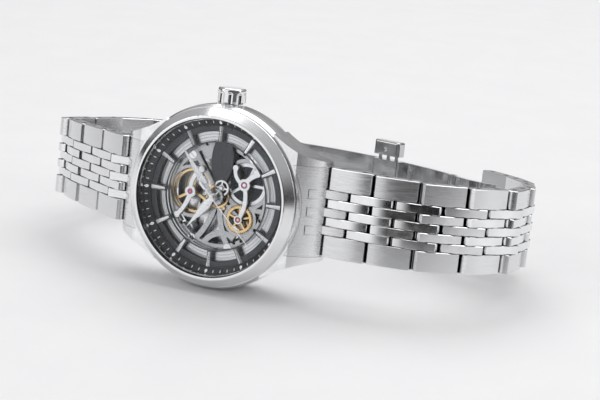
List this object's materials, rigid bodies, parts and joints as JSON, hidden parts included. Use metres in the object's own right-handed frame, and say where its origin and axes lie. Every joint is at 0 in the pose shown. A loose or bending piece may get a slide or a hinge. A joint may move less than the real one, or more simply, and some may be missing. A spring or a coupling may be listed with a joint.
{
  "type": "skeleton wristwatch",
  "caption": "Round steel skeleton wristwatch with an open-worked automatic movement, side crown, woven-look link bracelet and open butterfly clasp.",
  "frame": {"origin": "on the hands' axis, in the plane of the case back's outer face", "axes": "+X to 6 o'clock, +Y straight out of the case back, +Z to 3 o'clock and the crown, so the watch stands on its 9 o'clock side"},
  "size_m": [0.1194, 0.0649, 0.0451],
  "materials": {
    "satin_steel": "fine brushed",
    "polished_steel": "polished",
    "bracelet_steel": "brushed and polished",
    "sapphire": "clear polished",
    "gasket": "matt",
    "dark_dial": "satin anthracite",
    "silver_plate": "fine matt silver",
    "gilt_brass": "gilt, fine circular grain",
    "dark_spring": "dark blued",
    "ruby": "polished synthetic ruby"
  },
  "bodies": {
    "case": {"case_middle": "satin_steel", "bezel": "polished_steel", "front_crystal": "sapphire", "crystal_gasket": "gasket", "case_back": "satin_steel", "back_crystal": "sapphire", "spring_bars": "polished_steel", "end_links": "satin_steel", "minute_flange": "dark_dial", "hour_ring": "dark_dial", "hour_markers": "polished_steel", "movement_holder": "silver_plate", "main_plate": "silver_plate", "front_bridge": "dark_dial", "dial_side_bridges": "silver_plate", "balance_and_pallet_cocks": "silver_plate", "train_bridge": "silver_plate", "jewels": "ruby", "movement_screws": "polished_steel"},
    "link_6_1": {"link_6_1": "bracelet_steel"},
    "link_6_2": {"link_6_2": "bracelet_steel"},
    "link_6_3": {"link_6_3": "bracelet_steel"},
    "link_6_4": {"link_6_4": "bracelet_steel"},
    "link_6_5": {"link_6_5": "bracelet_steel"},
    "link_6_6": {"link_6_6": "bracelet_steel"},
    "link_6_7": {"link_6_7": "bracelet_steel"},
    "link_6_8": {"link_6_8": "bracelet_steel"},
    "link_12_1": {"link_12_1": "bracelet_steel"},
    "link_12_2": {"link_12_2": "bracelet_steel"},
    "link_12_3": {"link_12_3": "bracelet_steel"},
    "link_12_4": {"link_12_4": "bracelet_steel"},
    "link_12_5": {"link_12_5": "bracelet_steel"},
    "link_12_6": {"link_12_6": "bracelet_steel"},
    "link_12_7": {"link_12_7": "bracelet_steel"},
    "link_12_8": {"link_12_8": "bracelet_steel"},
    "clasp_arm_12": {"clasp_arm_12": "polished_steel"},
    "clasp_blade": {"clasp_blade": "polished_steel"},
    "clasp_arm_6": {"clasp_arm_6": "polished_steel"},
    "clasp_pusher_upper": {"clasp_pusher_upper": "polished_steel"},
    "clasp_pusher_lower": {"clasp_pusher_lower": "polished_steel"},
    "crown_gasket": {"crown_gasket": "gasket"},
    "crown": {"crown": "polished_steel", "winding_stem": "polished_steel"},
    "minute_train": {"centre_wheel": "gilt_brass", "minute_hand": "polished_steel"},
    "hour_train": {"hour_wheel": "silver_plate", "hour_hand": "polished_steel"},
    "minute_work_wheel": {"minute_work_wheel": "silver_plate"},
    "third_wheel": {"third_wheel": "gilt_brass"},
    "seconds_train": {"fourth_wheel": "gilt_brass", "seconds_hand": "polished_steel"},
    "escape_wheel": {"escape_wheel": "gilt_brass"},
    "barrel": {"barrel": "silver_plate", "mainspring": "dark_spring"},
    "ratchet_wheel": {"ratchet_wheel": "silver_plate"},
    "winding_wheel": {"winding_wheel": "gilt_brass"},
    "balance": {"balance_wheel": "gilt_brass", "hairspring": "dark_spring"},
    "pallet_fork": {"pallet_fork": "polished_steel"},
    "rotor": {"rotor": "silver_plate"}
  },
  "joints": [
    {"name": "link_6_1_pin", "type": "hinge", "parent": "case", "child": "link_6_1", "pos_m": [0.02715, -0.0023, 0], "axis": [0, 0, 1], "range_deg": [-4, 0]},
    {"name": "link_6_2_pin", "type": "hinge", "parent": "link_6_1", "child": "link_6_2", "pos_m": [0.03735, -0.0023, 0], "axis": [0, 0, 1], "range_deg": [-12, 0]},
    {"name": "link_6_3_pin", "type": "hinge", "parent": "link_6_2", "child": "link_6_3", "pos_m": [0.04745, -0.00088, 0], "axis": [0, 0, 1], "range_deg": [-28, 0]},
    {"name": "link_6_4_pin", "type": "hinge", "parent": "link_6_3", "child": "link_6_4", "pos_m": [0.0561, 0.00452, 0], "axis": [0, 0, 1], "range_deg": [-26, 0]},
    {"name": "link_6_5_pin", "type": "hinge", "parent": "link_6_4", "child": "link_6_5", "pos_m": [0.0621, 0.01278, 0], "axis": [0, 0, 1], "range_deg": [-35, 0]},
    {"name": "link_6_6_pin", "type": "hinge", "parent": "link_6_5", "child": "link_6_6", "pos_m": [0.06299, 0.02294, 0], "axis": [0, 0, 1], "range_deg": [-26, 0]},
    {"name": "link_6_7_pin", "type": "hinge", "parent": "link_6_6", "child": "link_6_7", "pos_m": [0.06, 0.03269, 0], "axis": [0, 0, 1], "range_deg": [-26, 0]},
    {"name": "link_6_8_pin", "type": "hinge", "parent": "link_6_7", "child": "link_6_8", "pos_m": [0.05358, 0.04062, 0], "axis": [0, 0, 1], "range_deg": [-18, 0]},
    {"name": "link_12_1_pin", "type": "hinge", "parent": "case", "child": "link_12_1", "pos_m": [-0.02715, -0.0023, 0], "axis": [0, 0, -1], "range_deg": [-37, 0]},
    {"name": "link_12_2_pin", "type": "hinge", "parent": "link_12_1", "child": "link_12_2", "pos_m": [-0.0357, 0.00326, 0], "axis": [0, 0, -1], "range_deg": [-4, 0]},
    {"name": "link_12_3_pin", "type": "hinge", "parent": "link_12_2", "child": "link_12_3", "pos_m": [-0.04426, 0.00881, 0], "axis": [0, 0, -1], "range_deg": [-12, 0]},
    {"name": "link_12_4_pin", "type": "hinge", "parent": "link_12_3", "child": "link_12_4", "pos_m": [-0.05196, 0.0155, 0], "axis": [0, 0, -1], "range_deg": [-67, 0]},
    {"name": "link_12_5_pin", "type": "hinge", "parent": "link_12_4", "child": "link_12_5", "pos_m": [-0.04949, 0.0254, 0], "axis": [0, 0, -1], "range_deg": [-4, 0]},
    {"name": "link_12_6_pin", "type": "hinge", "parent": "link_12_5", "child": "link_12_6", "pos_m": [-0.04702, 0.0353, 0], "axis": [0, 0, -1], "range_deg": [-25, 0]},
    {"name": "link_12_7_pin", "type": "hinge", "parent": "link_12_6", "child": "link_12_7", "pos_m": [-0.04117, 0.04365, 0], "axis": [0, 0, -1], "range_deg": [-25, 0]},
    {"name": "link_12_8_pin", "type": "hinge", "parent": "link_12_7", "child": "link_12_8", "pos_m": [-0.03272, 0.04936, 0], "axis": [0, 0, -1], "range_deg": [-21, 0]},
    {"name": "clasp_arm_12_fold", "type": "hinge", "parent": "link_12_8", "child": "clasp_arm_12", "pos_m": [-0.0266, 0.0455, 0], "axis": [0, 0, -1], "range_deg": [0, 12]},
    {"name": "clasp_blade_fold", "type": "hinge", "parent": "clasp_arm_12", "child": "clasp_blade", "pos_m": [-0.004, 0.0511, 0], "axis": [0, 0, -1], "range_deg": [0, 28]},
    {"name": "clasp_arm_6_fold", "type": "hinge", "parent": "link_6_6", "child": "clasp_arm_6", "pos_m": [0.0566, 0.0287, 0], "axis": [0, 0, -1], "range_deg": [-35, 3]},
    {"name": "clasp_pusher_upper_press", "type": "slide", "parent": "clasp_blade", "child": "clasp_pusher_upper", "axis": [0, 0, -1], "range_m": [0, 0.0008]},
    {"name": "clasp_pusher_lower_press", "type": "slide", "parent": "clasp_blade", "child": "clasp_pusher_lower", "axis": [0, 0, 1], "range_m": [0, 0.0008]},
    {"name": "crown_pull", "type": "slide", "parent": "case", "child": "crown_gasket", "axis": [0, 0, 1], "range_m": [0, 0.0012]},
    {"name": "crown_turn", "type": "hinge", "parent": "crown_gasket", "child": "crown", "pos_m": [0, -0.0045, 0.021], "axis": [0, 0, 1], "continuous": true},
    {"name": "minute_turn", "type": "hinge", "parent": "case", "child": "minute_train", "pos_m": [0, -0.0049, 0], "axis": [0, 1, 0], "continuous": true},
    {"name": "hour_turn", "type": "hinge", "parent": "case", "child": "hour_train", "pos_m": [0, -0.0079, 0], "axis": [0, 1, 0], "continuous": true},
    {"name": "minute_work_turn", "type": "hinge", "parent": "case", "child": "minute_work_wheel", "pos_m": [0.00116, -0.0079, 0.0021], "axis": [0, 1, 0], "continuous": true},
    {"name": "third_turn", "type": "hinge", "parent": "case", "child": "third_wheel", "pos_m": [0.00176, -0.0039, -0.0025], "axis": [0, 1, 0], "continuous": true},
    {"name": "seconds_turn", "type": "hinge", "parent": "case", "child": "seconds_train", "pos_m": [0, -0.0039, 0], "axis": [0, 1, 0], "continuous": true},
    {"name": "escape_turn", "type": "hinge", "parent": "case", "child": "escape_wheel", "pos_m": [-0.00159, -0.0049, -0.00238], "axis": [0, 1, 0], "continuous": true},
    {"name": "barrel_turn", "type": "hinge", "parent": "case", "child": "barrel", "pos_m": [0.0064, -0.0049, 0.0035], "axis": [0, 1, 0], "continuous": true},
    {"name": "ratchet_turn", "type": "hinge", "parent": "case", "child": "ratchet_wheel", "pos_m": [0.0064, -0.0036, 0.0035], "axis": [0, 1, 0], "continuous": true},
    {"name": "winding_turn", "type": "hinge", "parent": "case", "child": "winding_wheel", "pos_m": [0.0057, -0.0036, -0.0044], "axis": [0, 1, 0], "continuous": true},
    {"name": "balance_swing", "type": "hinge", "parent": "case", "child": "balance", "pos_m": [-0.0067, -0.0049, 0.0001], "axis": [0, 1, 0], "range_deg": [-135, 135]},
    {"name": "pallet_swing", "type": "hinge", "parent": "case", "child": "pallet_fork", "pos_m": [-0.00393, -0.0049, -0.00124], "axis": [0, 1, 0], "range_deg": [-5, 5]},
    {"name": "rotor_turn", "type": "hinge", "parent": "case", "child": "rotor", "pos_m": [0, -0.0019, 0], "axis": [0, 1, 0], "continuous": true}
  ],
  "couplings": [
    {"joint": "hour_turn", "follows": "minute_turn", "ratio": 0.083333},
    {"joint": "minute_work_turn", "follows": "minute_turn", "ratio": -0.33333},
    {"joint": "third_turn", "follows": "minute_turn", "ratio": -7.5},
    {"joint": "seconds_turn", "follows": "minute_turn", "ratio": 60},
    {"joint": "escape_turn", "follows": "minute_turn", "ratio": -600},
    {"joint": "barrel_turn", "follows": "minute_turn", "ratio": -0.40278},
    {"joint": "winding_turn", "follows": "ratchet_turn", "ratio": -1.55}
  ]
}
